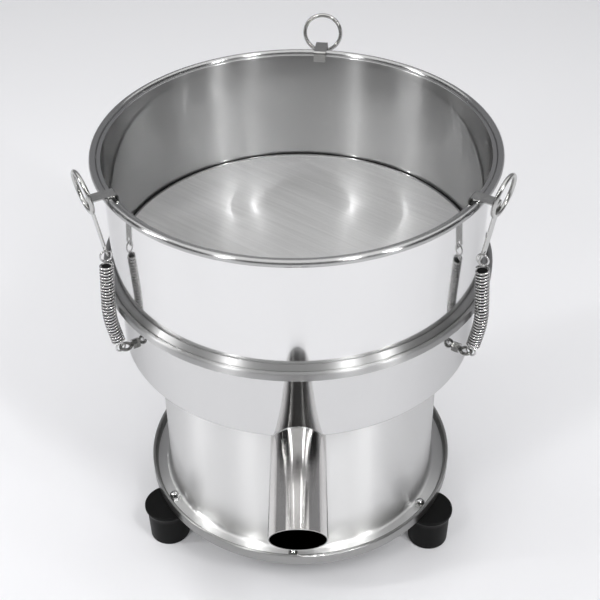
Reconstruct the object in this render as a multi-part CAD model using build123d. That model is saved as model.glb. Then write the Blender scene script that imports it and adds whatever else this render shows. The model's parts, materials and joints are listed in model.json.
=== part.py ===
from build123d import *
import math
import os

# Vibrating sieve with a round drum, a collecting pan, a motor housing and three rubber feet.
# Millimetres. The origin is on the floor under the middle of the drum, +Z is up and the outlet points to -Y.

# Clearances
running_gap = 0.05
seam_gap = 0.05
hole_gap = 0.25
hook_gap = 0.4
spring_gap = 1.6
spring_seat_gap = 0.45
weight_bore_gap = 0.01

# Rubber feet, with a stud set inboard of each foot's middle
foot_angles = {"left": -150.8, "right": -32.6, "back": 88.3}
foot_stud_angles = {"left": -150.4, "right": -35.0, "back": 88.3}
base_stud_angles = (-92.6, 27.4, 147.4)
foot_height = 36.0
foot_top_diameter = 39.6
foot_waist_diameter = 35.6
foot_bottom_diameter = 34.2
foot_lip_height = 2.6
foot_flare_height = 7.0
foot_edge_rounding = 1.1
foot_outset = 6.8
stud_outset = 8.7
stud_diameter = 5.0
stud_depth_in_foot = 20.0
stud_head_height = 3.0

# Base tray, a dish with an upturned and hemmed rim
tray_margin = 16.3
tray_sheet = 1.5
tray_rim_height = 10.2
tray_hem_width = 2.6

# Dome nuts
nut_across_flats = 8.0
nut_hex_height = 3.6
nut_dome_diameter = 7.8

# Motor housing, a rolled cylinder with a flange turned out over the tray
housing_inset = 25.8
housing_sheet = 1.2
housing_height = 154.5
housing_flange_width = 12.0
housing_bend_radius = 4.0

# Collecting pan
pan_inset = 2.9
pan_sheet = 1.2
pan_depth = 65.4
pan_corner_radius = 2.0
pan_flange_inset = 0.1
pan_hem_height = 7.4
pan_hem_width = 4.0
hem_roundness = 0.9
pan_dome_inset = 9.5
pan_dome_rise = 15.0

# Outlet pipe, level, with its end cut on a slant so that the mouth faces down
outlet_diameter = 41.6
outlet_sheet = 1.2
outlet_reach = 240.0
outlet_axis_below_pan = 10.2
outlet_slant = 21.8
outlet_back_wall = 1.4

# Sieve drum and its screen
seat_gasket_thickness = 1.0
seat_gasket_width = 3.0
drum_radius = 146.2
drum_sheet = 0.8
drum_height = 101.6
drum_lip_width = 7.0
drum_skirt_width = 3.2
drum_skirt_height = 7.7
drum_skirt_slope_height = 3.5
rim_projection = 7.8
rim_bend_radius = 0.7
rim_bead_diameter = 5.6
screen_hoop_width = 6.8
screen_hoop_height = 1.6
screen_thickness = 0.6
screen_wall_gap = 0.3
screen_seal_width = 1.6
screen_seal_height = 1.0
screen_clamp_width = 1.2
screen_clamp_height = 0.8

# Spring latches: a bent strip over the rim, with a ring welded to it, pulled down by a close-wound spring
latch_angles = {"left": -151.0, "right": -32.3, "back": 82.5}
hook_width = 10.0
hook_sheet = 1.0
hook_bend_radius = 1.6
hook_lip_length = 8.5
hook_overhang = 10.5
strap_length = 49.0
strap_lean = 8.9
strap_eye_diameter = 4.4
strap_eye_margin = 3.2
ring_diameter = 33.8
ring_wire = 3.4
ring_lap = 9.5
ring_weld_depth = 0.3
spring_diameter = 11.0
spring_wire = 1.5
spring_neck = 2.5
spring_bend_run = 11.4
spring_bend_allowance = 0.5
top_loop_diameter = 10.5
bottom_loop_diameter = 8.7

# Anchors of the springs: eye bolts through the pan's wall
anchor_drop = 35.4
anchor_eye_diameter = 10.5
anchor_wire = 2.5
anchor_reach = 8.4
anchor_bolt_diameter = 4.0
anchor_bolt_inside = 5.5
anchor_nut_across_flats = 7.0
anchor_nut_height = 3.0

# Vibrating motor, upright in the middle of the housing
motor_plate_above_tray = 40.0
motor_plate_thickness = 4.0
motor_plate_bore = 40.0
motor_can_radius = 42.0
motor_can_sheet = 3.0
motor_can_height = 54.0
stator_height = 44.0
stator_bore_radius = 25.0
rotor_air_gap = 0.5
cover_thickness = 12.0
cover_flange_radius = 52.0
cover_flange_thickness = 4.0
cover_floor = 1.0
cover_shaft_hole_gap = 1.5
bearing_outer_diameter = 35.0
bearing_width = 11.0
shaft_diameter = 15.0
shaft_end_above_cover = 22.0
shaft_end_below_plate = 22.0
shaft_chamfer = 0.5
motor_bolt_circle = 47.2
motor_bolt_diameter = 5.0
motor_bolt_count = 4
bolt_head_height = 3.5
bolt_head_across_flats = 8.0
weight_radius = 34.0
weight_hub_radius = 13.0
weight_thickness = 12.0
weight_sweep = 160.0
weight_gap = 6.0
set_screw_diameter = 5.0

# Electrical pieces on the motor plate and the cable gland at the back
capacitor_diameter = 32.0
capacitor_height = 58.0
capacitor_angle = 135.0
capacitor_wall_gap = 6.0
clip_thickness = 1.5
clip_height = 12.0
clip_foot_length = 14.0
terminal_size = (40.0, 16.0, 14.0)
terminal_wire_hole = 4.0
terminal_poles = 3
terminal_angle = 40.0
terminal_wall_gap = 16.0
gland_angle = 90.0
gland_above_tray = 24.0
gland_thread_diameter = 16.0
gland_cable_bore = 7.0
gland_hex_across_flats = 22.0
gland_hex_length = 8.0
gland_cap_diameter = 18.0
gland_cap_length = 12.0
gland_cap_rounding = 3.0
gland_locknut_length = 5.0
gland_thread_inside = 10.0

# Heights above the floor
tray_floor = foot_height + tray_sheet
housing_flange_top = tray_floor + housing_sheet
pan_bottom = tray_floor + housing_height
pan_floor = pan_bottom + pan_sheet
pan_top = pan_bottom + pan_depth
pan_hem_bottom = pan_top - pan_sheet
drum_bottom = pan_top + seat_gasket_thickness
drum_top = drum_bottom + drum_height
rim_centre = drum_top - rim_bead_diameter / 2
lip_top = drum_bottom + drum_sheet
hoop_top = lip_top + screen_hoop_height
mesh_top = hoop_top + screen_thickness
outlet_axis = pan_bottom - outlet_axis_below_pan
motor_plate_bottom = tray_floor + motor_plate_above_tray
motor_plate_top = motor_plate_bottom + motor_plate_thickness
can_bottom = motor_plate_top + cover_thickness
can_top = can_bottom + motor_can_height
upper_cover_top = can_top + cover_thickness
anchor_height = pan_top - anchor_drop

# Radii that follow from the drum's
rim_radius = drum_radius + rim_projection
pan_radius = drum_radius - pan_inset
pan_flange_radius = rim_radius - pan_flange_inset
housing_radius = pan_radius - housing_inset
pan_dome_radius = housing_radius - pan_dome_inset
tray_radius = housing_radius + tray_margin
stud_circle_radius = housing_radius + stud_outset
foot_circle_radius = stud_circle_radius + foot_outset
housing_inside = housing_radius - housing_sheet
pan_inside = pan_radius - pan_sheet
drum_inside = drum_radius - drum_sheet
seal_outer = drum_inside - seam_gap
seal_inner = seal_outer - screen_seal_width
shaft_radius = shaft_diameter / 2
stator_radius = motor_can_radius - motor_can_sheet - seam_gap


def ring_profile(inner, outer, low, high):
    """Rectangle in the XZ plane, between two radii and two heights."""
    middle = ((inner + outer) / 2, (low + high) / 2)
    return Plane.XZ * Pos(*middle) * Rectangle(outer - inner, high - low)


def turned(*profiles):
    """One solid of revolution from profiles that touch or overlap."""
    face = profiles[0]
    for profile in profiles[1:]:
        face = face + profile
    return revolve(face, Axis.Z)


def tube(inner, outer, low, high):
    return turned(ring_profile(inner, outer, low, high))


def disc(radius, low, high):
    return Pos(0, 0, (low + high) / 2) * Cylinder(radius, high - low)


def rod(start, end, radius):
    """Round bar between two points."""
    start = Vector(*start)
    direction = Vector(*end) - start
    length = direction.length
    return Plane(start, z_dir=direction) * Pos(0, 0, length / 2) * Cylinder(radius, length)


def hexagon(across_flats, low, high):
    outline = RegularPolygon(across_flats / 2, 6, major_radius=False)
    return Pos(0, 0, low) * extrude(outline, high - low)


def at(radius, angle, part):
    """The part, moved out along X and then turned about Z."""
    return Rot(0, 0, angle) * Pos(radius, 0, 0) * part


def around(angles, radius, part):
    return [at(radius, angle, part) for angle in angles]


def evenly(count, first_angle):
    return [first_angle + index * 360 / count for index in range(count)]


def cut(part, tools):
    for tool in tools:
        part = part - tool
    return part


def stud_angles():
    """The foot studs and the base studs between them."""
    return [*foot_stud_angles.values(), *base_stud_angles]


def stud_holes(low, high):
    hole = disc(stud_diameter / 2 + hole_gap, low, high)
    return around(stud_angles(), stud_circle_radius, hole)


def foot(place):
    """Tapered rubber foot that flares out to a rounded lip at its top, with a hole for its stud."""
    top = (foot_top_diameter / 2, foot_height)
    lip = (foot_top_diameter / 2, foot_height - foot_lip_height)
    waist = (foot_waist_diameter / 2, lip[1] - foot_flare_height)
    bottom = (foot_bottom_diameter / 2, 0)
    taper = (waist[0] - bottom[0], waist[1] - bottom[1])
    flare = TangentArc(waist, lip, tangent=taper)
    outline = [Polyline((0, foot_height), (0, 0), bottom, waist), flare, Polyline(lip, top, (0, foot_height))]
    body = revolve(Plane.XZ * make_face(outline), Axis.Z)
    body = fillet(body.edges().filter_by(GeomType.CIRCLE).group_by(Axis.Z)[-1], foot_edge_rounding)
    body = fillet(body.edges().filter_by(GeomType.CIRCLE).group_by(Axis.Z)[0], foot_edge_rounding)
    hole = disc(stud_diameter / 2 + seam_gap, foot_height - stud_depth_in_foot, foot_height)
    hole = at(stud_circle_radius, foot_stud_angles[place], hole)
    return at(foot_circle_radius, foot_angles[place], body) - hole


def foot_studs():
    end = housing_flange_top + nut_hex_height
    stud = disc(stud_diameter / 2, foot_height - stud_depth_in_foot, end)
    return around(foot_stud_angles.values(), stud_circle_radius, stud)


def base_studs():
    """Short hexagon-headed studs that hold the tray to the housing between the feet."""
    end = housing_flange_top + nut_hex_height
    head = hexagon(nut_across_flats, foot_height - stud_head_height, foot_height)
    stud = head + disc(stud_diameter / 2, foot_height - stud_head_height, end)
    return around(base_stud_angles, stud_circle_radius, stud)


def dome_nuts():
    low = housing_flange_top
    middle = low + nut_hex_height
    dome = Pos(0, 0, middle) * Sphere(nut_dome_diameter / 2)
    dome = dome - disc(nut_across_flats, middle - nut_dome_diameter, middle)
    nut = hexagon(nut_across_flats, low, middle) + dome
    nut = nut - disc(stud_diameter / 2 + seam_gap, low, middle + seam_gap)
    return around(stud_angles(), stud_circle_radius, nut)


def base_tray():
    rim_top = foot_height + tray_rim_height
    hem_middle = rim_top - tray_hem_width / 2
    hem = Plane.XZ * Pos(tray_radius - tray_hem_width / 2, hem_middle) * Circle(tray_hem_width / 2)
    tray = turned(ring_profile(0, tray_radius, foot_height, tray_floor),
                  ring_profile(tray_radius - tray_sheet, tray_radius, foot_height, hem_middle), hem)
    return cut(tray, stud_holes(foot_height, tray_floor))


def motor_housing():
    flange_radius = housing_radius + housing_flange_width
    profile = ring_profile(housing_inside, housing_radius, tray_floor, pan_bottom)
    profile = profile + ring_profile(housing_inside, flange_radius, tray_floor, housing_flange_top)
    corner = profile.vertices().sort_by_distance((housing_radius, 0, housing_flange_top))[0]
    shell = revolve(fillet(corner, housing_bend_radius), Axis.Z)
    shell = cut(shell, stud_holes(tray_floor, housing_flange_top))
    return shell - gland_hole()


def gland_frame(part):
    """Places a part whose axis is +Z so that it points out of the back of the housing."""
    height = tray_floor + gland_above_tray
    return Rot(0, 0, gland_angle) * Pos(housing_radius, 0, height) * Rot(0, 90, 0) * part


def gland_hole():
    return gland_frame(disc(gland_thread_diameter / 2 + hole_gap, -gland_thread_inside, gland_thread_inside))


def cable_gland():
    cap_end = gland_hex_length + gland_cap_length
    body = disc(gland_thread_diameter / 2, -gland_thread_inside, 0)
    body = body + hexagon(gland_hex_across_flats, seam_gap, gland_hex_length)
    body = body + disc(gland_thread_diameter / 2, 0, gland_hex_length)
    cap = disc(gland_cap_diameter / 2, gland_hex_length, cap_end)
    cap = fillet(cap.edges().group_by(Axis.Z)[-1], gland_cap_rounding)
    body = body + cap - disc(gland_cable_bore / 2, -gland_thread_inside, cap_end)
    return gland_frame(body)


def gland_locknut():
    """Thin nut inside the housing; its face stands off the curved wall by the wall's own sagitta."""
    corner = gland_hex_across_flats / math.sqrt(3)
    sagitta = housing_inside - math.sqrt(housing_inside**2 - corner**2)
    high = -housing_sheet - sagitta - seam_gap
    nut = hexagon(gland_hex_across_flats, high - gland_locknut_length, high)
    return gland_frame(nut - disc(gland_thread_diameter / 2 + seam_gap, high - gland_locknut_length, high))


def outlet_cylinder(radius, back, front):
    """Round bar along the outlet's axis, between two distances from the middle of the sieve."""
    return rod((0, -back, outlet_axis), (0, -front, outlet_axis), radius)


def collecting_pan():
    """Pan with a raised hem round its flange and a domed floor that sheds powder to a slot over the outlet."""
    wall = ring_profile(pan_inside, pan_radius, pan_bottom, pan_top)
    floor = ring_profile(pan_dome_radius, pan_radius, pan_bottom, pan_floor)
    flange = ring_profile(pan_inside, pan_flange_radius - pan_hem_width / 2, pan_top - pan_sheet, pan_top)
    hem_middle = (pan_flange_radius - pan_hem_width / 2, pan_hem_bottom + pan_hem_height / 2)
    hem_corner = hem_roundness * min(pan_hem_height, pan_hem_width) / 2
    hem = Plane.XZ * Pos(*hem_middle) * RectangleRounded(pan_hem_width, pan_hem_height, hem_corner)
    profile = wall + floor + flange + hem + pan_dome_profile()
    corner = profile.vertices().group_by(Axis.Z)[0].sort_by(Axis.X)[-1]
    profile = fillet(corner, pan_corner_radius)
    pan = revolve(profile, Axis.Z)
    outlet_radius = outlet_diameter / 2
    slot = outlet_cylinder(outlet_radius + seam_gap, housing_inside - outlet_radius, outlet_reach)
    slot = slot - disc(housing_radius, pan_bottom - outlet_diameter, pan_bottom + outlet_diameter)
    bolt_hole = rod((pan_inside - pan_sheet, 0, anchor_height), (pan_radius + pan_sheet, 0, anchor_height),
                    anchor_bolt_diameter / 2 + hole_gap)
    return cut(pan - slot, [Rot(0, 0, angle) * bolt_hole for angle in latch_angles.values()])


def pan_dome_profile():
    """Half section of the shallow dome over the motor, from two equal arcs one sheet apart."""
    edge = pan_dome_radius + pan_sheet
    radius = (edge**2 + pan_dome_rise**2) / (2 * pan_dome_rise)
    centre = pan_bottom + pan_dome_rise - radius
    sweep_angle = math.degrees(math.asin(edge / radius))
    under = CenterArc((0, centre), radius, 90, -sweep_angle)
    over = CenterArc((0, centre + pan_sheet), radius, 90 - sweep_angle, sweep_angle)
    side = Line(under @ 1, over @ 0)
    axis_line = Line(over @ 1, under @ 0)
    return Plane.XZ * make_face([under, side, over, axis_line])


def outlet_pipe():
    """Level pipe with a closed back against the housing, open at the top inside the pan."""
    radius = outlet_diameter / 2
    bore = radius - outlet_sheet
    back = housing_radius + seam_gap
    pipe = outlet_cylinder(radius, back - radius, outlet_reach + radius)
    pipe = pipe - outlet_cylinder(bore, back + outlet_back_wall, outlet_reach + 2 * radius)
    pipe = pipe - disc(back, outlet_axis - 2 * radius, outlet_axis + 2 * radius)
    inside_pan = disc(pan_inside, pan_floor, outlet_axis + 2 * radius)
    pipe = pipe - inside_pan
    cutter = Box(4 * radius, 4 * radius, 8 * radius)
    cutter = Pos(0, -2 * radius, 0) * cutter
    return pipe - Pos(0, -outlet_reach, outlet_axis + radius) * Rot(outlet_slant, 0, 0) * cutter


def seat_gasket():
    outer = drum_radius
    return tube(outer - seat_gasket_width, outer, pan_top, drum_bottom)


def sieve_drum():
    """Thin drum with a lip for the screen, a rolled bead at its rim and a skirt inside the pan's hem."""
    bead_radius = rim_bead_diameter / 2
    bead_middle = rim_radius - bead_radius
    shoulder_top = rim_centre + drum_sheet / 2
    wall = ring_profile(drum_inside, drum_radius, drum_bottom, shoulder_top)
    lip = ring_profile(drum_inside - drum_lip_width, drum_inside, drum_bottom, lip_top)
    shoulder = ring_profile(drum_inside, bead_middle, shoulder_top - drum_sheet, shoulder_top)
    bead = Plane.XZ * Pos(bead_middle, rim_centre) * Circle(bead_radius)
    profile = wall + lip + shoulder + bead + drum_skirt_profile()
    corner = profile.vertices().sort_by_distance((drum_inside, 0, shoulder_top))[0]
    return revolve(fillet(corner, rim_bend_radius), Axis.Z)


def drum_skirt_profile():
    """Half section of the band round the drum's foot, sloped at its top."""
    outer = drum_radius + drum_skirt_width
    top = drum_bottom + drum_skirt_height
    outline = Polyline((drum_inside, drum_bottom), (outer, drum_bottom), (outer, top - drum_skirt_slope_height),
                       (drum_radius, top), (drum_inside, top), close=True)
    return Plane.XZ * make_face(outline)


def screen_hoop():
    """Flat hoop on the drum's lip that carries the screen."""
    outer = drum_inside - seam_gap
    return tube(outer - screen_hoop_width, outer, lip_top, hoop_top)


def screen_mesh():
    """Woven screen as one thin disc on its hoop."""
    return disc(drum_inside - screen_wall_gap, hoop_top, mesh_top)


def screen_seal():
    """Rubber ring over the screen's edge, against the drum's wall."""
    return tube(seal_inner, seal_outer, mesh_top, mesh_top + screen_seal_height)


def screen_clamp():
    """Bright ring that holds the screen down inside its seal."""
    outer = seal_inner - seam_gap
    return tube(outer - screen_clamp_width, outer, mesh_top, mesh_top + screen_clamp_height)


def hook_points():
    """Line of the hook's strip in the plane of radius and height: lip, over the rim and down the strap."""
    plate = drum_top + hook_gap + hook_sheet / 2
    lip_end = plate - hook_lip_length
    lip = drum_inside - hook_gap - hook_sheet / 2
    corner = rim_radius + hook_overhang
    lean = math.radians(strap_lean)
    foot_end = (corner - strap_length * math.sin(lean), plate - strap_length * math.cos(lean))
    return [(lip, lip_end), (lip, plate), (corner, plate), foot_end]


def strap_point(distance, proud=0.0):
    """Place on the strap's line, a distance below its corner and standing proud of it."""
    corner = hook_points()[2]
    lean = math.radians(strap_lean)
    radius = corner[0] - distance * math.sin(lean) + proud * math.cos(lean)
    return (radius, corner[1] - distance * math.cos(lean) - proud * math.sin(lean))


def strap_eye():
    return strap_point(strap_length - strap_eye_margin)


def hook():
    """Bent strip in the XZ plane, with an eye near the strap's end for the spring."""
    points = [(radius, 0, height) for radius, height in hook_points()]
    path = FilletPolyline(*points, radius=hook_bend_radius)
    section = Plane(path @ 0, x_dir=(0, 1, 0), z_dir=path % 0) * Rectangle(hook_width, hook_sheet)
    strip = sweep(section, path)
    eye = strap_eye()
    reach = hook_width * math.cos(math.radians(strap_lean))
    drop = hook_width * math.sin(math.radians(strap_lean))
    inner_end = (eye[0] - reach, 0, eye[1] + drop)
    outer_end = (eye[0] + reach, 0, eye[1] - drop)
    return strip - rod(inner_end, outer_end, strap_eye_diameter / 2)


def pull_ring():
    """Wire ring welded flat to the outside of the strap, just below the bend."""
    wire = ring_wire / 2
    middle = ring_diameter / 2 - wire
    proud = hook_sheet / 2 + wire - ring_weld_depth
    centre = strap_point(ring_lap - ring_diameter / 2, proud)
    ring = Pos(centre[0], 0, centre[1]) * Rot(0, 90 + strap_lean, 0) * Torus(middle, wire)
    return ring - hook()


def anchor_eye_centre():
    return (pan_radius + anchor_reach, anchor_height)


def bottom_loop_centre():
    """The spring's lower loop goes round the outermost wire of the anchor's eye and pulls up on it."""
    eye = anchor_eye_centre()
    slack = (bottom_loop_diameter - anchor_wire) / 2 - spring_wire
    return (eye[0] + (anchor_eye_diameter - anchor_wire) / 2, eye[1] + slack - spring_seat_gap)


def top_loop_centre():
    """The spring's upper loop passes through the strap's eye and pulls down on its lower edge."""
    eye = strap_eye()
    slack = (strap_eye_diameter - spring_wire) / 2
    return (eye[0], eye[1] - slack + spring_seat_gap - (top_loop_diameter - spring_wire) / 2)


def toward(start, end, distance):
    """Point at a distance from start on the line to end."""
    length = math.dist(start, end)
    return tuple(a + (b - a) * distance / length for a, b in zip(start, end))


def spring_path_points():
    """Ends of the spring's body, and the bend that carries it clear of the pan's flange."""
    bulge = pan_flange_radius + spring_diameter / 2 + spring_gap + spring_bend_allowance
    bend = (bulge, pan_hem_bottom)
    first = toward(top_loop_centre(), bend, top_loop_diameter / 2 + spring_neck)
    last = toward(bottom_loop_centre(), bend, bottom_loop_diameter / 2 + spring_neck)
    return [first, bend, last]


def spring_turn(points):
    """Angle between the two straight runs of the spring's body."""
    first, bend, last = points
    upper = math.atan2(bend[0] - first[0], first[1] - bend[1])
    lower = math.atan2(last[0] - bend[0], bend[1] - last[1])
    return abs(upper - lower)


def spring_loop(centre, diameter):
    ring = Torus((diameter - spring_wire) / 2, spring_wire / 2)
    return Pos(centre[0], 0, centre[1]) * Rot(90, 0, 0) * ring


def spring():
    """Close-wound extension spring as a bent tube of its coils, with a loop at each end."""
    points = spring_path_points()
    bend_radius = spring_bend_run / math.tan(spring_turn(points) / 2)
    path = FilletPolyline(*[(radius, 0, height) for radius, height in points], radius=bend_radius)
    outer = spring_diameter / 2
    middle = outer - spring_wire / 2
    section = Plane(path @ 0, z_dir=path % 0) * (Circle(outer) - Circle(outer - spring_wire))
    body = sweep(section, path)
    ends = ((top_loop_centre(), top_loop_diameter, points[0], -1),
            (bottom_loop_centre(), bottom_loop_diameter, points[-1], 1))
    for centre, diameter, body_end, side in ends:
        body = body + spring_loop(centre, diameter)
        loop_point = (centre[0], 0, centre[1] + side * (diameter - spring_wire) / 2)
        coil_point = (body_end[0] + middle, 0, body_end[1] + side * spring_wire)
        body = body + rod(loop_point, coil_point, spring_wire / 2)
        body = body + Pos(*loop_point) * Sphere(spring_wire / 2)
    return body


def anchor_eye():
    """Eye bolt: a level eye on a threaded shank through the pan's wall."""
    eye = anchor_eye_centre()
    ring = Pos(eye[0], 0, eye[1]) * Torus((anchor_eye_diameter - anchor_wire) / 2, anchor_wire / 2)
    shank_end = eye[0] - (anchor_eye_diameter - anchor_wire) / 2
    shank_start = pan_inside - anchor_bolt_inside
    shank = rod((shank_start, 0, eye[1]), (shank_end, 0, eye[1]), anchor_bolt_diameter / 2)
    return ring + shank


def anchor_nuts():
    """A nut each side of the pan's wall on every eye bolt."""
    nut = hexagon(anchor_nut_across_flats, 0, anchor_nut_height)
    nut = nut - disc(anchor_bolt_diameter / 2 + seam_gap, 0, anchor_nut_height)
    corner = anchor_nut_across_flats / math.sqrt(3)
    sagitta = pan_inside - math.sqrt(pan_inside**2 - corner**2)
    places = (pan_radius + seam_gap, pan_inside - sagitta - seam_gap - anchor_nut_height)
    lying = Pos(0, 0, anchor_height) * Rot(0, 90, 0) * nut
    return [at(place, angle, lying) for angle in latch_angles.values() for place in places]


def motor_bolt_holes(low, high, first_angle):
    hole = disc(motor_bolt_diameter / 2 + hole_gap, low, high)
    return around(evenly(motor_bolt_count, first_angle), motor_bolt_circle, hole)


def motor_plate():
    plate = tube(motor_plate_bore / 2, housing_inside - seam_gap, motor_plate_bottom, motor_plate_top)
    return cut(plate, motor_bolt_holes(motor_plate_bottom, motor_plate_top, 0))


def end_cover(low, flip):
    """Motor end cover with a bearing pocket on its inner side and a bolting flange on its outer side."""
    pocket = disc(bearing_outer_diameter / 2 + seam_gap, cover_floor, cover_thickness)
    cover = disc(motor_can_radius, 0, cover_thickness) + disc(cover_flange_radius, 0, cover_flange_thickness)
    cover = cover - pocket - disc(shaft_radius + cover_shaft_hole_gap, 0, cover_thickness)
    tie_angle = 180 / motor_bolt_count
    cover = cut(cover, motor_bolt_holes(0, cover_flange_thickness, tie_angle))
    if flip:
        return Pos(0, 0, low + cover_thickness) * Rot(180, 0, 0) * cover
    cover = cut(cover, motor_bolt_holes(0, cover_flange_thickness, 0))
    return Pos(0, 0, low) * cover


def bearing(low):
    """Ball bearing as its two races and shields in one ring."""
    return tube(shaft_radius + running_gap, bearing_outer_diameter / 2, low, low + bearing_width)


def motor_can():
    return tube(motor_can_radius - motor_can_sheet, motor_can_radius, can_bottom, can_top)


def stator_core():
    middle = (can_bottom + can_top) / 2
    return tube(stator_bore_radius, stator_radius, middle - stator_height / 2, middle + stator_height / 2)


def rotor_core():
    middle = (can_bottom + can_top) / 2
    low = middle - stator_height / 2
    return tube(shaft_radius, stator_bore_radius - rotor_air_gap, low, low + stator_height)


def shaft_ends():
    return (motor_plate_bottom - shaft_end_below_plate, upper_cover_top + shaft_end_above_cover)


def motor_shaft():
    low, high = shaft_ends()
    shaft = disc(shaft_radius, low, high)
    return chamfer(shaft.edges().filter_by(GeomType.CIRCLE), shaft_chamfer)


def hexagon_bolt(low, high, head_up):
    """Bolt whose shank fills low to high, with its head at one end."""
    head = (high, high + bolt_head_height) if head_up else (low - bolt_head_height, low)
    return disc(motor_bolt_diameter / 2, low, high) + hexagon(bolt_head_across_flats, *head)


def motor_bolts():
    """Bolts up through the motor plate into nuts on the lower cover's flange."""
    flange_top = motor_plate_top + cover_flange_thickness
    nut_top = flange_top + bolt_head_height
    bolt = hexagon_bolt(motor_plate_bottom, nut_top, False)
    bolt = bolt + hexagon(bolt_head_across_flats, flange_top, nut_top)
    return around(evenly(motor_bolt_count, 0), motor_bolt_circle, bolt)


def tie_bolts():
    """Long bolts beside the can that draw the two covers together."""
    bolt = hexagon_bolt(motor_plate_top, upper_cover_top, True)
    return around(evenly(motor_bolt_count, 180 / motor_bolt_count), motor_bolt_circle, bolt)


def weight_bottoms():
    """Undersides of the lower and the upper eccentric weight."""
    return (motor_plate_bottom - weight_gap - weight_thickness, upper_cover_top + weight_gap)


def eccentric_weight(low):
    high = low + weight_thickness
    sector = disc(weight_radius, low, high)
    half = Box(4 * weight_radius, 2 * weight_radius, 4 * weight_thickness)
    spare = (180 - weight_sweep) / 2
    for angle in (-spare, spare):
        sector = sector - Rot(0, 0, angle) * Pos(0, -weight_radius, (low + high) / 2) * half
    weight = sector + disc(weight_hub_radius, low, high) - disc(shaft_radius + weight_bore_gap, low, high)
    return weight - set_screw(low, set_screw_diameter / 2 + seam_gap, weight_hub_radius)


def set_screw(low, radius, end):
    middle = low + weight_thickness / 2
    return rod((0, -shaft_radius - running_gap, middle), (0, -end, middle), radius)


def weight_screws():
    return [set_screw(low, set_screw_diameter / 2, weight_hub_radius) for low in weight_bottoms()]


def capacitor_circle():
    return housing_inside - capacitor_wall_gap - capacitor_diameter / 2


def capacitor():
    can = disc(capacitor_diameter / 2, motor_plate_top, motor_plate_top + capacitor_height)
    can = fillet(can.edges().group_by(Axis.Z)[-1], clip_thickness)
    return at(capacitor_circle(), capacitor_angle, can)


def capacitor_clip():
    """Spring band round the capacitor, with a foot on the motor plate."""
    inner = capacitor_diameter / 2 + seam_gap
    outer = inner + clip_thickness
    band = tube(inner, outer, motor_plate_top, motor_plate_top + clip_height)
    tab = Box(clip_foot_length, clip_height, clip_thickness, align=(Align.MIN, Align.CENTER, Align.MIN))
    foot_tab = Rot(0, 0, 90) * Pos(inner + clip_thickness / 2, 0, motor_plate_top) * tab
    return at(capacitor_circle(), capacitor_angle, band + foot_tab)


def terminal_block():
    length, depth, height = terminal_size
    block = Pos(0, 0, motor_plate_top + height / 2) * Box(depth, length, height)
    pitch = length / terminal_poles
    middle = motor_plate_top + height / 2
    for pole in range(terminal_poles):
        place = (pole - (terminal_poles - 1) / 2) * pitch
        block = block - rod((-depth, place, middle), (depth, place, middle), terminal_wire_hole / 2)
    return at(housing_inside - terminal_wall_gap - depth / 2, terminal_angle, block)


def latch_parts():
    """The four pieces of each latch, by node name."""
    makers = {"hook": hook, "pull_ring": pull_ring, "spring": spring, "anchor_eye": anchor_eye}
    return {f"{name}_{place}": Rot(0, 0, angle) * make()
            for name, make in makers.items() for place, angle in latch_angles.items()}


def foot_parts():
    return {f"foot_{place}": foot(place) for place in foot_angles}


def all_parts():
    lower_weight, upper_weight = weight_bottoms()
    parts = {
        "sieve_drum": sieve_drum(),
        "screen_mesh": screen_mesh(),
        "screen_hoop": screen_hoop(),
        "screen_seal": screen_seal(),
        "screen_clamp": screen_clamp(),
        "seat_gasket": seat_gasket(),
        "collecting_pan": collecting_pan(),
        "outlet_pipe": outlet_pipe(),
        "motor_housing": motor_housing(),
        "base_tray": base_tray(),
        "foot_studs": foot_studs(),
        "base_studs": base_studs(),
        "dome_nuts": dome_nuts(),
        "anchor_nuts": anchor_nuts(),
        "cable_gland": cable_gland(),
        "gland_locknut": gland_locknut(),
        "motor_plate": motor_plate(),
        "motor_can": motor_can(),
        "stator_core": stator_core(),
        "lower_end_cover": end_cover(motor_plate_top, False),
        "upper_end_cover": end_cover(can_top, True),
        "lower_bearing": bearing(can_bottom - bearing_width),
        "upper_bearing": bearing(can_top),
        "motor_bolts": motor_bolts(),
        "tie_bolts": tie_bolts(),
        "capacitor": capacitor(),
        "capacitor_clip": capacitor_clip(),
        "terminal_block": terminal_block(),
        "motor_shaft": motor_shaft(),
        "rotor_core": rotor_core(),
        "lower_weight": eccentric_weight(lower_weight),
        "upper_weight": eccentric_weight(upper_weight),
        "weight_screws": weight_screws(),
    }
    parts.update(foot_parts())
    parts.update(latch_parts())
    return parts


def main():
    os.makedirs("parts", exist_ok=True)
    for name, part in all_parts().items():
        shape = Compound(children=part) if isinstance(part, list) else part
        export_step(shape, f"parts/{name}.step")


main()
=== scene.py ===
import json
import math

import bmesh
import bpy
from mathutils import Matrix, Vector


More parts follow.
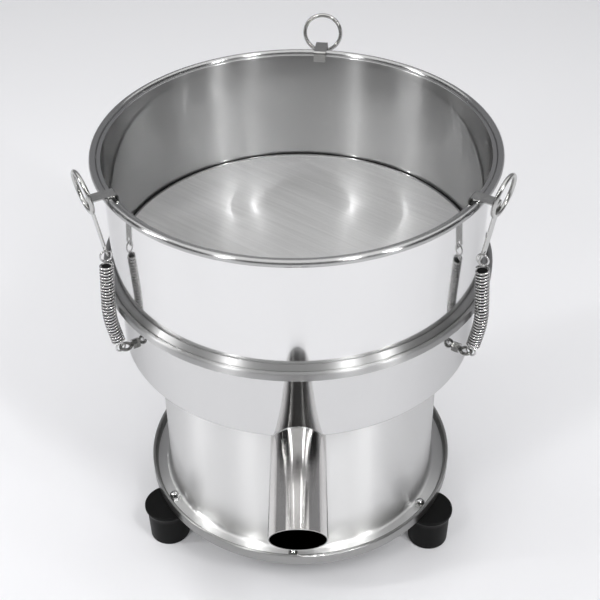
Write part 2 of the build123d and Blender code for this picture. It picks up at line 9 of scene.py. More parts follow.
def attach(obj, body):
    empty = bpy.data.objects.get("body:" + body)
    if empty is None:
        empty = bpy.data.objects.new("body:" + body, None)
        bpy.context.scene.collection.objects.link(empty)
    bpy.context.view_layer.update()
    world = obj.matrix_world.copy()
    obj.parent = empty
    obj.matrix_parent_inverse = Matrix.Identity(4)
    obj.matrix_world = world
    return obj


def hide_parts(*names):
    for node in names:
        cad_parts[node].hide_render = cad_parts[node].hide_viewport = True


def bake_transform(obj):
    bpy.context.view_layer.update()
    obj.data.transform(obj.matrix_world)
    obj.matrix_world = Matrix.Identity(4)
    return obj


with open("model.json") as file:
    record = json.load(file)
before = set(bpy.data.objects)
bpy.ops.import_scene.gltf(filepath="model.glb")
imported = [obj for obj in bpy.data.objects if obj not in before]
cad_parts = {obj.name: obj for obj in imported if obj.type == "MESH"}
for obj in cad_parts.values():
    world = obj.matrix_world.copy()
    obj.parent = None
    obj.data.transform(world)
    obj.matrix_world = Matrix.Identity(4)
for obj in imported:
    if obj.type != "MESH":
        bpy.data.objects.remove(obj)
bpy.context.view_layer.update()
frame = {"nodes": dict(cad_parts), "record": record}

# The frame of the part: metres, +Z up, the outlet towards -Y
MM = 0.001

# Latch springs, as they lie in the plane of radius and height
LATCH_ANGLES = {"left": -151.0, "right": -32.3, "back": 82.5}
SPRING_WIRE = 1.5 * MM
# Width of the black core that paints the shade inside each spring
SPRING_SHADE_CORE = 7.9 * MM
SPRING_DIAMETER = 11.0 * MM
SPRING_PITCH = 2.7 * MM
SPRING_TOP = Vector((157.999, 0, 302.424)) * MM
SPRING_BEND = Vector((161.5, 0, 256.2)) * MM
SPRING_BOTTOM = Vector((156.884, 0, 229.897)) * MM
SPRING_BEND_RUN = 11.4 * MM
TOP_LOOP = Vector((157.414, 0, 310.151)) * MM
TOP_LOOP_DIAMETER = 10.5 * MM
BOTTOM_LOOP = Vector((155.7, 0, 223.15)) * MM
BOTTOM_LOOP_DIAMETER = 8.7 * MM
POINTS_PER_TURN = 14
LOOP_STEPS = 28
JOINING_STEPS = 8
SHADE_CORE_STEPS = 40

# Where the finish of the turned sheet changes
DRUM_WALL = 145.8 * MM
DRUM_BOTTOM = 258.0 * MM
RIM_BOTTOM = 354.0 * MM
FLANGE_MIDDLE = 261.0 * MM
FLANGE_HALF_HEIGHT = 5.4 * MM
# Darker steel colour, which inside the drum is painted shade, also used for the darker pan and rolled edges
DARK_STEEL_AND_SHADE = (0.38, 0.38, 0.38, 1)
EDGE_TINT = (0.6, 0.6, 0.6, 1)

# Half section of the drum, in millimetres
DRUM_OUTSIDE = 146.2
DRUM_INSIDE = 145.4
DRUM_FOOT = 258.4
BAND_RADIUS = 149.4
BAND_TOP = 262.6
BAND_SLOPE_TOP = 266.1
SEAT_RADIUS = 138.4
SEAT_TOP = 259.2
SHOULDER_BOTTOM = 356.8
SHOULDER_BEND = (146.1, 356.9)
SHOULDER_BEND_RADIUS = 0.7
BEAD_CENTRE = (151.2, 357.2)
BEAD_RADIUS = 2.8
BEAD_START = 188.2
BEAD_END = 531.8

# Half section of the pan, in millimetres
PAN_OUTSIDE = 143.3
PAN_INSIDE = 142.1
PAN_FLOOR = 192.0
PAN_SHEET = 1.2
PAN_FOOT_BEND = 2.0
PAN_FINE_TOP = 208.0
FLANGE_BOTTOM = 256.2
FLANGE_TOP = 257.4
HEM_INSIDE = 149.9
HEM_OUTSIDE = 153.9
HEM_TOP = 263.6
HEM_CORNER = 1.8
DOME_EDGE = 109.2
DOME_RISE = 15.0
DOME_TIP_RADIUS = 0.01
TURNED_SEGMENTS = 240

# Outlet, in millimetres
OUTLET_HEIGHT = 181.8
OUTLET_OUTSIDE = 20.8
OUTLET_INSIDE = 19.6
OUTLET_BORE = 20.2
OUTLET_TOP = 202.6
OUTLET_REACH = 240.0
OUTLET_SLANT = 21.8
OUTLET_SEGMENTS = 120
OUTLET_AXIS = Vector((0, 0, OUTLET_HEIGHT)) * MM
OPENING_RADIUS = 17.5
OPENING_BACK = 118.0
OUTSIDE_WALL_START = 142.6
INSIDE_WALL_START = 142.2
OUTSIDE_BACK_START = 117.6
OUTLET_BACK = 119.0
OUTLET_BACK_MIDDLE = 175.0
WELD_RADIUS = 20.85
WELD_WALL = 143.35
WELD_WIRE = 0.9


# Shader helpers

def new_material(name):
    """A material with one Principled shader, as (material, node tree, shader)."""
    material = bpy.data.materials.new(name)
    material.use_nodes = True
    tree = material.node_tree
    return material, tree, tree.nodes["Principled BSDF"]


def connect(tree, value, socket):
    """Links an output socket, or sets a plain value."""
    if isinstance(value, bpy.types.NodeSocket):
        tree.links.new(value, socket)
    else:
        socket.default_value = value


def add_node(tree, kind, settings=None, **inputs):
    """A node with its inputs set or linked.

    An input is named with underscores for spaces, or as i and its number.
    """
    node = tree.nodes.new(kind)
    for key, value in (settings or {}).items():
        setattr(node, key, value)
    for key, value in inputs.items():
        place = int(key[1:]) if key[1:].isdigit() else key.replace("_", " ")
        connect(tree, value, node.inputs[place])
    return node


def set_inputs(tree, node, **inputs):
    for key, value in inputs.items():
        connect(tree, value, node.inputs[key.replace("_", " ")])


def maths(tree, operation, *values):
    """Result of a Math node."""
    inputs = {f"i{index}": value for index, value in enumerate(values)}
    return add_node(tree, "ShaderNodeMath", {"operation": operation}, **inputs).outputs[0]


def vector_maths(tree, operation, *values):
    """Vector that a Vector Math node gives."""
    inputs = {f"i{index}": value for index, value in enumerate(values)}
    return add_node(tree, "ShaderNodeVectorMath", {"operation": operation}, **inputs).outputs[0]


def place_of(tree):
    """Position on the part."""
    return add_node(tree, "ShaderNodeTexCoord").outputs["Object"]


def height_of(tree):
    return add_node(tree, "ShaderNodeSeparateXYZ", Vector=place_of(tree)).outputs["Z"]


def distance_from(tree, place, scales):
    """Distance of a point from an axis or a plane, where scales drop the other directions."""
    offset = vector_maths(tree, "SUBTRACT", place_of(tree), place)
    flat = vector_maths(tree, "MULTIPLY", offset, scales)
    return add_node(tree, "ShaderNodeVectorMath", {"operation": "LENGTH"}, i0=flat).outputs["Value"]


def noise(tree, scales, detail):
    """Noise that is stretched along each axis."""
    vector = vector_maths(tree, "MULTIPLY", place_of(tree), scales)
    node = add_node(tree, "ShaderNodeTexNoise", Vector=vector, Scale=1.0, Detail=detail, Roughness=0.55)
    return node.outputs["Fac"]


def spread(tree, value, low, high, start=0.3, end=0.7):
    """Maps a range of values, by default the middle of a noise, to another range."""
    node = add_node(tree, "ShaderNodeMapRange", {"clamp": True}, Value=value, From_Min=start, From_Max=end,
                    To_Min=low, To_Max=high)
    return node.outputs["Result"]


def pick(tree, mask, off, on):
    """A number that is off where the mask is nought and on where it is one."""
    return add_node(tree, "ShaderNodeMix", {"data_type": "FLOAT"}, i0=mask, i2=off, i3=on).outputs[0]


def pick_colour(tree, mask, off, on):
    """A colour that is off where the mask is nought and on where it is one."""
    return add_node(tree, "ShaderNodeMix", {"data_type": "RGBA"}, i0=mask, i6=off, i7=on).outputs[2]


def grey_range(tree, value, dark, light):
    """Colour between two greys."""
    return pick_colour(tree, value, (*dark, 1), (*light, 1))


def bump(tree, height, strength, distance):
    node = add_node(tree, "ShaderNodeBump", Height=height, Strength=strength, Distance=distance)
    return node.outputs["Normal"]


def round_tangent(tree, axis="Z"):
    """Direction round an axis through the piece's middle, for finishes that were brushed on a lathe."""
    node = add_node(tree, "ShaderNodeTangent", {"direction_type": "RADIAL", "axis": axis})
    return node.outputs["Tangent"]


# Metals

def sheet_steel(name, light, dark, rough, brushing, coat, coat_ior, dark_and_shade_mask=None):
    """Stainless sheet: a mirror coat over a base that is brushed round the upright axis.

    rough and coat are numbers, or functions that give a socket from the node tree. The last argument gives a
    mask for where the colour turns darker, which inside the drum is painted shade. The base reflects less
    towards the sheet's outlines.
    """
    material, tree, shader = new_material(name)
    colour = grey_range(tree, noise(tree, (9, 9, 6), detail=4), dark, light)
    # Darker colour where the mask is one; inside the drum this is painted shade
    if dark_and_shade_mask:
        colour = pick_colour(tree, dark_and_shade_mask(tree), colour, DARK_STEEL_AND_SHADE)
    set_inputs(tree, shader, Base_Color=colour, Metallic=1.0, Specular_Tint=EDGE_TINT,
               Roughness=rough(tree) if callable(rough) else rough,
               Anisotropic=brushing, Anisotropic_Rotation=0.25, Tangent=round_tangent(tree))
    set_inputs(tree, shader, Coat_Weight=coat(tree) if callable(coat) else coat, Coat_Roughness=0.02,
               Coat_IOR=coat_ior)
    return material


def drum_inside(tree):
    """One on the inner side of the drum."""
    near = maths(tree, "LESS_THAN", distance_from(tree, (0, 0, 0), (1, 1, 0)), DRUM_WALL)
    return maths(tree, "MULTIPLY", near, maths(tree, "GREATER_THAN", height_of(tree), DRUM_BOTTOM))


def drum_rim(tree):
    """One at the height of the drum's rim."""
    return maths(tree, "GREATER_THAN", height_of(tree), RIM_BOTTOM)


def rolled_edges(tree):
    """One on the drum's rim, the band round its foot and the pan's hem, which are rougher and darker than the
    walls.
    """
    flange = maths(tree, "COMPARE", height_of(tree), FLANGE_MIDDLE, FLANGE_HALF_HEIGHT)
    outside = maths(tree, "SUBTRACT", 1.0, drum_inside(tree))
    return maths(tree, "MULTIPLY", maths(tree, "MAXIMUM", drum_rim(tree), flange), outside)


def pan_wall(tree):
    """One on the pan, below its hem."""
    return maths(tree, "LESS_THAN", height_of(tree), FLANGE_MIDDLE - FLANGE_HALF_HEIGHT)


def polished_steel():
    """Mirror walls with satin rolled edges, a rougher inside of the drum whose darker colour is painted
    shade, and a slightly darker pan.
    """
    def rough(tree):
        wall = pick(tree, drum_inside(tree), 0.08, 0.30)
        edge = pick(tree, drum_rim(tree), 0.42, 0.22)
        return pick(tree, rolled_edges(tree), wall, edge)

    def coat(tree):
        wall = pick(tree, pan_wall(tree), 1.0, 0.4)
        return pick(tree, rolled_edges(tree), wall, 0.05)

    # Where the colour is darker: painted shade inside the drum, and a darker pan and rolled edges
    def dark_and_shade_mask(tree):
        wall = pick(tree, pan_wall(tree), drum_inside(tree), 0.3)
        return pick(tree, rolled_edges(tree), wall, 0.6)

    return sheet_steel("polished_steel", (0.80, 0.80, 0.80), (0.73, 0.73, 0.73), rough, 1.0, coat, 2.8, dark_and_shade_mask)


def housing_steel():
    return sheet_steel("brushed_steel", (0.90, 0.90, 0.895), (0.86, 0.86, 0.855), 0.36, 0.95, 0.2, 2.0)


def tray_steel():
    return sheet_steel("tray_steel", (0.38, 0.38, 0.375), (0.32, 0.32, 0.315), 0.32, 0.6, 0.3, 2.0)


def small_steel(name, light, dark, rough):
    """Bright or satin steel for wire, strip and fasteners."""
    material, tree, shader = new_material(name)
    stains = noise(tree, (220, 220, 220), detail=4)
    scratches = noise(tree, (900, 900, 900), detail=2)
    set_inputs(tree, shader, Base_Color=grey_range(tree, stains, dark, light), Metallic=1.0,
               Roughness=spread(tree, stains, rough * 0.75, rough * 1.3),
               Normal=bump(tree, scratches, 0.15, 0.00003))
    return material


def pipe_steel():
    """Polished pipe, with painted shade that makes its inside nearly black.

    The pipe is level, but its shading normals lean towards the mouth, as on a pipe that slopes down a little.
    """
    material, tree, shader = new_material("pipe_steel")
    stains = noise(tree, (30, 30, 30), detail=4)
    rings = noise(tree, (8, 500, 8), detail=3)
    shaded_bore = maths(tree, "LESS_THAN", distance_from(tree, OUTLET_AXIS, (1, 0, 1)), OUTLET_BORE * MM)
    straight = add_node(tree, "ShaderNodeNewGeometry").outputs["Normal"]
    lean = vector_maths(tree, "NORMALIZE", vector_maths(tree, "ADD", straight, (0, -0.07, 0)))
    warm = grey_range(tree, stains, (0.60, 0.585, 0.57), (0.72, 0.71, 0.70))
    # The bore's nearly black colour is painted shade
    colour = pick_colour(tree, shaded_bore, warm, (0.02, 0.02, 0.02, 1))
    set_inputs(tree, shader, Base_Color=colour, Metallic=1.0, Roughness=spread(tree, rings, 0.12, 0.15),
               Anisotropic=0.95, Anisotropic_Rotation=0.25, Tangent=round_tangent(tree, "Y"), Normal=lean)
    return material


def woven_screen():
    """Fine wire cloth, woven at an angle to the outlet."""
    material, tree, shader = new_material("steel_screen")
    cloth = add_node(tree, "ShaderNodeVectorRotate", {"rotation_type": "Z_AXIS"}, Vector=place_of(tree),
                     Angle=math.radians(38)).outputs[0]
    wires = []
    for direction in ("X", "Y"):
        wave = add_node(tree, "ShaderNodeTexWave", {"bands_direction": direction, "wave_profile": "SIN"},
                        Vector=cloth, Scale=300.0, Distortion=0.0)
        wires.append(wave.outputs["Fac"])
    weave = maths(tree, "MAXIMUM", *wires)
    along = vector_maths(tree, "MULTIPLY", cloth, (12, 500, 1))
    streaks = add_node(tree, "ShaderNodeTexNoise", Vector=along, Scale=1.0, Detail=3.0, Roughness=0.6)
    streaks = streaks.outputs["Fac"]
    tone = maths(tree, "MULTIPLY", weave, spread(tree, streaks, 0.78, 1.0))
    set_inputs(tree, shader, Base_Color=grey_range(tree, tone, (0.20, 0.20, 0.20), (0.86, 0.86, 0.86)),
               Metallic=0.6, Roughness=spread(tree, streaks, 0.34, 0.44),
               Normal=bump(tree, weave, 0.5, 0.0003))
    return material


def rough_metal(name, light, dark, rough):
    """Cast or laminated metal inside the housing."""
    material, tree, shader = new_material(name)
    grain = noise(tree, (500, 500, 900), detail=4)
    set_inputs(tree, shader, Base_Color=grey_range(tree, grain, dark, light), Metallic=0.9,
               Roughness=spread(tree, grain, rough * 0.8, rough * 1.2),
               Normal=bump(tree, grain, 0.25, 0.0002))
    return material


# Other materials

def rubber():
    material, tree, shader = new_material("black_rubber")
    grain = noise(tree, (900, 900, 900), detail=3)
    dust = noise(tree, (60, 60, 60), detail=5)
    set_inputs(tree, shader, Base_Color=grey_range(tree, dust, (0.003, 0.003, 0.003), (0.006, 0.006, 0.006)),
               Roughness=spread(tree, dust, 0.42, 0.52), Specular_IOR_Level=0.12,
               Normal=bump(tree, grain, 0.08, 0.00005))
    return material


def plastic(name, light, dark, rough):
    material, tree, shader = new_material(name)
    grain = noise(tree, (700, 700, 700), detail=3)
    set_inputs(tree, shader, Base_Color=grey_range(tree, grain, dark, light),
               Roughness=spread(tree, grain, rough * 0.85, rough * 1.15),
               Normal=bump(tree, grain, 0.1, 0.00008))
    return material


MATERIALS = {
    "polished_steel": polished_steel(),
    "brushed_steel": housing_steel(),
    "tray_steel": tray_steel(),
    "satin_steel": small_steel("satin_steel", (0.58, 0.58, 0.57), (0.46, 0.46, 0.45), 0.2),
    "spring_steel": small_steel("spring_steel", (0.72, 0.715, 0.71), (0.60, 0.595, 0.59), 0.2),
    "plated_steel": small_steel("plated_steel", (0.36, 0.36, 0.35), (0.20, 0.20, 0.19), 0.15),
    "nut_chrome": small_steel("nut_chrome", (0.66, 0.66, 0.66), (0.54, 0.54, 0.54), 0.08),
    "steel_screen": woven_screen(),
    "black_rubber": rubber(),
    "black_plastic": plastic("black_plastic", (0.035, 0.035, 0.035), (0.02, 0.02, 0.02), 0.5),
    "white_plastic": plastic("white_plastic", (0.78, 0.78, 0.75), (0.70, 0.70, 0.67), 0.35),
    "plain_steel": small_steel("plain_steel", (0.58, 0.58, 0.58), (0.46, 0.46, 0.46), 0.3),
    "core_steel": rough_metal("core_steel", (0.42, 0.42, 0.43), (0.30, 0.30, 0.31), 0.45),
    "cast_aluminium": rough_metal("cast_aluminium", (0.66, 0.66, 0.66), (0.54, 0.54, 0.54), 0.45),
    "cast_iron": rough_metal("cast_iron", (0.14, 0.14, 0.14), (0.08, 0.08, 0.08), 0.6),
}
PIPE_STEEL = pipe_steel()


def dress_nodes():
    """Gives every node of the part the finish of its slot."""
    slots = {part["node"]: part["material_slot"] for part in frame["record"]["subparts"]}
    for name, node in frame["nodes"].items():
        node.data.materials.clear()
        node.data.materials.append(PIPE_STEEL if name == "outlet_pipe" else MATERIALS[slots[name]])


# Meshes

def new_piece(name, mesh, material):
    piece = bpy.data.objects.new(name, mesh)
    mesh.materials.clear()
    mesh.materials.append(material)
    bpy.context.scene.collection.objects.link(piece)
    return piece


def wire_mesh(name, points, diameter, sides=3):
    """Mesh of a round wire along points."""
    curve = bpy.data.curves.new(name, "CURVE")
    curve.dimensions = "3D"
    curve.bevel_depth = diameter / 2
    curve.bevel_resolution = sides
    curve.use_fill_caps = True
    spline = curve.splines.new("POLY")
    spline.points.add(len(points) - 1)
    for place, point in zip(spline.points, points):
        place.co = (*point, 1)
    holder = bpy.data.objects.new(name + "_curve", curve)
    bpy.context.scene.collection.objects.link(holder)
    mesh = bpy.data.meshes.new_from_object(holder.evaluated_get(bpy.context.evaluated_depsgraph_get()))
    bpy.data.objects.remove(holder)
    bpy.data.curves.remove(curve)
    mesh.name = name
    for face in mesh.polygons:
        face.use_smooth = True
    return mesh


def smooth_mesh(name, corners, faces):
    """Mesh that is smooth but for its sharp edges, with its faces turned outwards."""
    mesh = bpy.data.meshes.new(name)
    mesh.from_pydata(corners, [], faces)
    shape = bmesh.new()
    shape.from_mesh(mesh)
    bmesh.ops.recalc_face_normals(shape, faces=shape.faces)
    shape.to_mesh(mesh)
    shape.free()
    mesh.shade_smooth()
    mesh.set_sharp_from_angle(angle=math.radians(35))
    return mesh


def ring_faces(rows, count):
    """Faces between each row of points and the next, where rows and points both close in a ring."""
    faces = []
    for row in range(rows):
        this, following = row * count, (row + 1) % rows * count
        for index in range(count):
            after = (index + 1) % count
            faces.append((this + index, this + after, following + after, following + index))
    return faces


def turned_mesh(name, outline, keep=None):
    """Mesh of a closed half section in millimetres, turned about the upright axis."""
    corners = []
    for segment in range(TURNED_SEGMENTS):
        angle = 2 * math.pi * segment / TURNED_SEGMENTS
        corners += [Vector((r * math.cos(angle), r * math.sin(angle), z)) * MM for r, z in outline]
    faces = ring_faces(TURNED_SEGMENTS, len(outline))
    if keep:
        faces = [face for face in faces if keep(sum((corners[corner] for corner in face), Vector()) / 4)]
    return smooth_mesh(name, corners, faces)


# Turned sheet, finer than the part's own mesh so that reflections run smoothly

def arc_points(centre, radius, start, end, steps):
    """Points of an arc in a half section, as radius and height."""
    points = []
    for step in range(steps + 1):
        angle = math.radians(start + (end - start) * step / steps)
        points.append((centre[0] + radius * math.cos(angle), centre[1] + radius * math.sin(angle)))
    return points


def straight_points(start, end, steps):
    """Points of a straight line in a half section, without its ends."""
    points = []
    for step in range(1, steps):
        share = step / steps
        points.append((start[0] + (end[0] - start[0]) * share, start[1] + (end[1] - start[1]) * share))
    return points


def drum_outline():
    """Wall with a sloped band at its foot, a lip for the screen, and a flat shoulder with a rolled bead."""
    bead = arc_points(BEAD_CENTRE, BEAD_RADIUS, BEAD_START, BEAD_END, 28)
    bend = arc_points(SHOULDER_BEND, SHOULDER_BEND_RADIUS, 90, 180, 5)
    outside = [(BAND_RADIUS, DRUM_FOOT), (BAND_RADIUS, BAND_TOP), (DRUM_OUTSIDE, BAND_SLOPE_TOP)]
    seat = [(DRUM_INSIDE, SEAT_TOP), (SEAT_RADIUS, SEAT_TOP), (SEAT_RADIUS, DRUM_FOOT)]
    return [*outside, (DRUM_OUTSIDE, SHOULDER_BOTTOM), *bead, *bend, *seat]


def pan_outline():
    """Wall with a rounded foot, a flange with an upright hem, and a shallow dome over the motor."""
    inner, outer = HEM_INSIDE + HEM_CORNER, HEM_OUTSIDE - HEM_CORNER
    low, high = FLANGE_BOTTOM + HEM_CORNER, HEM_TOP - HEM_CORNER
    hem = arc_points((outer, low), HEM_CORNER, -90, 0, 8)
    hem += arc_points((outer, high), HEM_CORNER, 0, 90, 8)
    hem += arc_points((inner, high), HEM_CORNER, 90, 180, 8)
    foot_top = PAN_FLOOR + PAN_FOOT_BEND
    foot = arc_points((PAN_OUTSIDE - PAN_FOOT_BEND, foot_top), PAN_FOOT_BEND, -90, 0, 6)
    wall = straight_points((PAN_OUTSIDE, foot_top), (PAN_OUTSIDE, PAN_FINE_TOP), 14)
    under = []
    for share in (0, 0.2, 0.4, 0.6, 0.8):
        under.append((DOME_EDGE * (1 - share), PAN_FLOOR + DOME_RISE * (1 - (1 - share)**2)))
    over = [(radius, height + PAN_SHEET) for radius, height in reversed(under)]
    inside = [(PAN_INSIDE, PAN_FLOOR + PAN_SHEET), (PAN_INSIDE, FLANGE_TOP), (HEM_INSIDE, FLANGE_TOP)]
    outside = [(PAN_OUTSIDE, FLANGE_BOTTOM), (PAN_OUTSIDE, PAN_FINE_TOP)]
    tip = [(DOME_TIP_RADIUS, PAN_FLOOR + DOME_RISE), (DOME_TIP_RADIUS, PAN_FLOOR + PAN_SHEET + DOME_RISE)]
    return [*over, *inside, *reversed(hem), *outside, *reversed(wall), *reversed(foot), *under, *tip]


def outside_outlet(place):
    """False where the pan is open to the outlet pipe."""
    across = math.hypot(place.x, place.z - OUTLET_AXIS.z)
    return place.y > 0 or across > OPENING_RADIUS * MM or math.hypot(place.x, place.y) < OPENING_BACK * MM


def outlet_rows(radius, wall, back):
    """Points along the outlet's straight lines, from the pan's wall or the housing to the slanted mouth."""
    slope = math.tan(math.radians(OUTLET_SLANT))
    rows = []
    for step in range(OUTLET_SEGMENTS):
        angle = 2 * math.pi * step / OUTLET_SEGMENTS
        x, z = radius * math.sin(angle), OUTLET_HEIGHT + radius * math.cos(angle)
        behind = wall if z > PAN_FLOOR else back
        front = -OUTLET_REACH + (OUTLET_TOP - z) * slope
        start = -math.sqrt(behind**2 - x**2)
        lengths = [start + (front - start) * share for share in (0, 0.25, 0.5, 0.75, 1)]
        rows.append([Vector((x, y, z)) * MM for y in lengths])
    return rows


def outlet_mesh():
    """Outlet pipe, closed at the back below the pan's floor."""
    outside = outlet_rows(OUTLET_OUTSIDE, OUTSIDE_WALL_START, OUTSIDE_BACK_START)
    inside = outlet_rows(OUTLET_INSIDE, INSIDE_WALL_START, OUTLET_BACK)
    rows = [outer + inner[::-1] for outer, inner in zip(outside, inside)]
    count = len(rows[0])
    corners = [point for row in rows for point in row]
    faces = ring_faces(OUTLET_SEGMENTS, count)
    middle = len(corners)
    corners.append(Vector((0, -OUTLET_BACK, OUTLET_BACK_MIDDLE)) * MM)
    for step in range(OUTLET_SEGMENTS):
        this, following = step * count + count - 1, (step + 1) % OUTLET_SEGMENTS * count + count - 1
        if corners[this].z < PAN_FLOOR * MM and corners[following].z < PAN_FLOOR * MM:
            faces.append((this, following, middle))
    return smooth_mesh("outlet_tube", corners, faces)


def weld_points():
    """Line where the outlet meets the pan's wall."""
    points = []
    for angle in range(-60, 61, 2):
        turn = math.radians(angle)
        x, z = WELD_RADIUS * math.sin(turn), OUTLET_HEIGHT + WELD_RADIUS * math.cos(turn)
        points.append(Vector((x, -math.sqrt(WELD_WALL**2 - x**2), z)) * MM)
    return points


def fixed_piece(name, mesh, material, node=None):
    """Piece that rides on the machine, in place of a node if one is named."""
    piece = new_piece(name, mesh, material)
    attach(piece, "machine")
    if node:
        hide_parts(node)


def turned_sheet():
    polished = MATERIALS["polished_steel"]
    drum = turned_mesh("drum_shell", drum_outline())
    fixed_piece("drum_shell", drum, polished, "sieve_drum")
    pan = turned_mesh("pan_shell", pan_outline(), outside_outlet)
    fixed_piece("pan_shell", pan, polished, "collecting_pan")
    fixed_piece("outlet_tube", outlet_mesh(), PIPE_STEEL, "outlet_pipe")
    weld = wire_mesh("outlet_weld", weld_points(), WELD_WIRE * MM)
    fixed_piece("outlet_weld", weld, MATERIALS["plain_steel"])


# Latch springs

def turned(point, angle):
    return Matrix.Rotation(math.radians(angle), 3, "Z") @ point


def spring_centre_line():
    """Function from distance along the spring's body to place and direction, and the body's length."""
    down = (SPRING_BEND - SPRING_TOP).normalized()
    inward = (SPRING_BOTTOM - SPRING_BEND).normalized()
    turn = down.angle(inward)
    radius = SPRING_BEND_RUN / math.tan(turn / 2)
    first_run = (SPRING_BEND - SPRING_TOP).length - SPRING_BEND_RUN
    arc = radius * turn
    last_run = (SPRING_BOTTOM - SPRING_BEND).length - SPRING_BEND_RUN
    arc_start = SPRING_TOP + down * first_run
    across = (inward - down * down.dot(inward)).normalized()

    def at(distance):
        if distance <= first_run:
            return SPRING_TOP + down * distance, down
        if distance <= first_run + arc:
            angle = (distance - first_run) / radius
            place = arc_start + down * radius * math.sin(angle) + across * radius * (1 - math.cos(angle))
            return place, down * math.cos(angle) + across * math.sin(angle)
        rest = distance - first_run - arc
        return SPRING_BEND + inward * (SPRING_BEND_RUN + rest), inward

    return at, first_run + arc + last_run


def coil_points():
    """Turns of wire from the top of the spring's body to its bottom."""
    at, length = spring_centre_line()
    side = Vector((0, 1, 0))
    radius = (SPRING_DIAMETER - SPRING_WIRE) / 2
    turns = round(length / SPRING_PITCH)
    points = []
    for step in range(turns * POINTS_PER_TURN + 1):
        share = step / (turns * POINTS_PER_TURN)
        place, direction = at(share * length)
        out = side.cross(direction).normalized()
        angle = 2 * math.pi * turns * share
        points.append(place + radius * (out * math.cos(angle) + side * math.sin(angle)))
    return points


def loop_points(centre, diameter, start, end):
    """Wire loop in the plane of radius and height, between two angles from the outward direction."""
    radius = (diameter - SPRING_WIRE) / 2
    points = []
    for step in range(LOOP_STEPS + 1):
        angle = math.radians(start + (end - start) * step / LOOP_STEPS)
        points.append(centre + radius * Vector((math.cos(angle), 0, math.sin(angle))))
    return points


def joining_points(before, after):
    """Smooth curve of wire from the end of one list of points to the start of the next."""
    start, end = before[-1], after[0]
    reach = (end - start).length
    leave = (before[-1] - before[-2]).normalized() * reach
    arrive = (after[1] - after[0]).normalized() * reach
    points = []
    for step in range(1, JOINING_STEPS):
        t = step / JOINING_STEPS
        from_start, from_leave = 2 * t**3 - 3 * t**2 + 1, t**3 - 2 * t**2 + t
        from_end, from_arrive = -2 * t**3 + 3 * t**2, t**3 - t**2
        points.append(start * from_start + leave * from_leave + end * from_end + arrive * from_arrive)
    return points


def latch_spring(place, angle):
    """Wound spring, with a black core that paints the shade inside its turns."""
    top = loop_points(TOP_LOOP, TOP_LOOP_DIAMETER, -430, -70)
    bottom = loop_points(BOTTOM_LOOP, BOTTOM_LOOP_DIAMETER, 70, -250)
    coils = coil_points()
    line = top + joining_points(top, coils) + coils + joining_points(coils, bottom) + bottom
    mesh = wire_mesh(f"spring_coils_{place}", [turned(point, angle) for point in line], SPRING_WIRE)
    piece = new_piece(f"spring_coils_{place}", mesh, MATERIALS["spring_steel"])
    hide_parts(f"spring_{place}")
    # A black core along the spring's middle: painted shade inside its turns
    at, length = spring_centre_line()
    middle = [turned(at(length * step / SHADE_CORE_STEPS)[0], angle) for step in range(1, SHADE_CORE_STEPS)]
    shade_core_mesh = wire_mesh(f"spring_inside_{place}", middle, SPRING_SHADE_CORE, sides=5)
    core = new_piece(f"spring_inside_{place}", shade_core_mesh, MATERIALS["black_rubber"])
    for part in (piece, core):
        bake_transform(part)


# Studio

def floor():
    """Pale floor, with a faint light of its own behind the part and far from the lamps to stay pale."""
    half = 30.0
    mesh = bpy.data.meshes.new("floor")
    corners = [(-half, -half, 0), (half, -half, 0), (half, half, 0), (-half, half, 0)]
    mesh.from_pydata(corners, [], [(0, 1, 2, 3)])
    material, tree, shader = new_material("floor")
    depth = add_node(tree, "ShaderNodeSeparateXYZ", Vector=place_of(tree)).outputs["Y"]
    behind = spread(tree, depth, 0.0, 0.14, start=-0.35, end=0.3)
    far = spread(tree, distance_from(tree, (0, 0, 0), (1, 1, 0)), 0.0, 0.5, start=1.2, end=4.0)
    set_inputs(tree, shader, Base_Color=(0.86, 0.86, 0.88, 1), Roughness=0.65,
               Emission_Color=(0.98, 0.98, 1.0, 1), Emission_Strength=maths(tree, "ADD", behind, far))
    piece = new_piece("floor", mesh, material)


def studio_world():
    """Dark room with a pale backdrop behind the part and a pale horizon."""
    world = bpy.data.worlds.new("studio")
    world.use_nodes = True
    tree = world.node_tree
    direction = add_node(tree, "ShaderNodeTexCoord").outputs["Generated"]
    parts = add_node(tree, "ShaderNodeSeparateXYZ", Vector=direction)
    behind = spread(tree, parts.outputs["Y"], 0.0, 1.0, start=0.1, end=0.5)
    below_top = spread(tree, parts.outputs["Z"], 1.0, 0.0, start=0.6, end=0.8)
    backdrop = maths(tree, "MULTIPLY", behind, below_top)
    horizon = spread(tree, parts.outputs["Z"], 1.0, 0.0, start=0.02, end=0.2)
    share = maths(tree, "MAXIMUM", backdrop, horizon)
    colour = grey_range(tree, share, (0.012, 0.012, 0.012), (0.30, 0.30, 0.31))
    set_inputs(tree, tree.nodes["Background"], Color=colour, Strength=1.0)
    bpy.context.scene.world = world


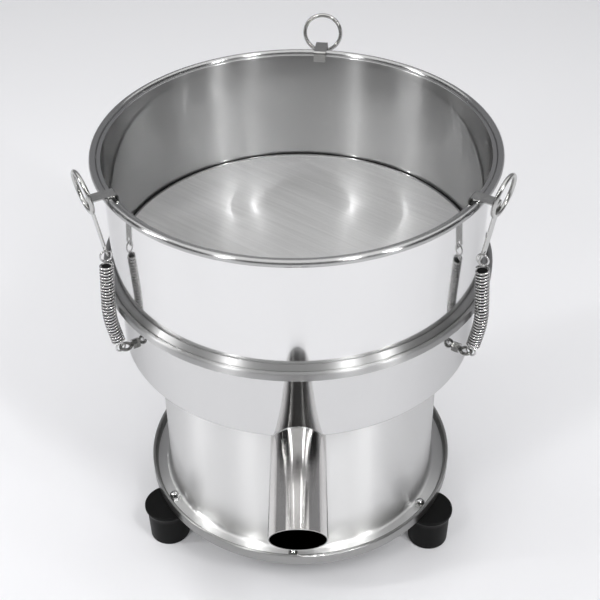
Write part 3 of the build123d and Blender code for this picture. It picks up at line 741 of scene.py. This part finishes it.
def softbox(name, place, aim, width, height, power):
    light = bpy.data.lights.new(name, "AREA")
    light.shape = "RECTANGLE"
    light.size = width
    light.size_y = height
    light.energy = power
    holder = bpy.data.objects.new(name, light)
    holder.location = place
    direction = Vector(aim) - Vector(place)
    if direction.xy.length > 0.01:
        holder.rotation_euler = direction.to_track_quat("-Z", "Y").to_euler()
    holder.visible_camera = False
    bpy.context.scene.collection.objects.link(holder)


def narrow_lamp(name, azimuth, elevation, height, power):
    """Upright strip of light, at an angle from the outlet's direction towards +X."""
    middle, distance, width = (0, 0, 0.2), 1.8, 0.05
    turn, rise = math.radians(azimuth), math.radians(elevation)
    flat = distance * math.cos(rise)
    place = (flat * math.sin(turn), -flat * math.cos(turn), middle[2] + distance * math.sin(rise))
    softbox(name, place, middle, width, height, power)


def studio_lights():
    softbox("top_softbox", (-0.1, -0.1, 2.2), (-0.1, -0.1, 0), 3.6, 3.6, 46)
    narrow_lamp("left_lamp", -39, 39, 0.65, 6.5)
    narrow_lamp("left_side_lamp", -80, 32, 0.8, 6.0)
    narrow_lamp("right_lamp", 32, 50, 0.6, 6.5)
    narrow_lamp("right_side_lamp", 50, 32, 0.8, 6.0)


def photo_camera():
    """Camera at the photograph's place, above and in front of the outlet."""
    data = bpy.data.cameras.new("camera")
    data.angle = math.radians(28.85)
    data.clip_start = 0.05
    data.clip_end = 50
    camera = bpy.data.objects.new("camera", data)
    pitch, yaw, roll = math.radians(38.1), math.radians(0.55), math.radians(0.71)
    turn = Matrix.Rotation(yaw, 4, "Z") @ Matrix.Rotation(math.pi / 2 - pitch, 4, "X")
    turn = turn @ Matrix.Rotation(-roll, 4, "Z")
    camera.matrix_world = Matrix.Translation((0.00848, -0.75796, 0.80304)) @ turn
    bpy.context.scene.collection.objects.link(camera)
    bpy.context.scene.camera = camera


dress_nodes()
turned_sheet()
for latch, latch_angle in LATCH_ANGLES.items():
    latch_spring(latch, latch_angle)
floor()
studio_world()
studio_lights()
photo_camera()
bpy.context.scene.view_settings.view_transform = "Standard"
bpy.context.scene.cycles.blur_glossy = 0.02
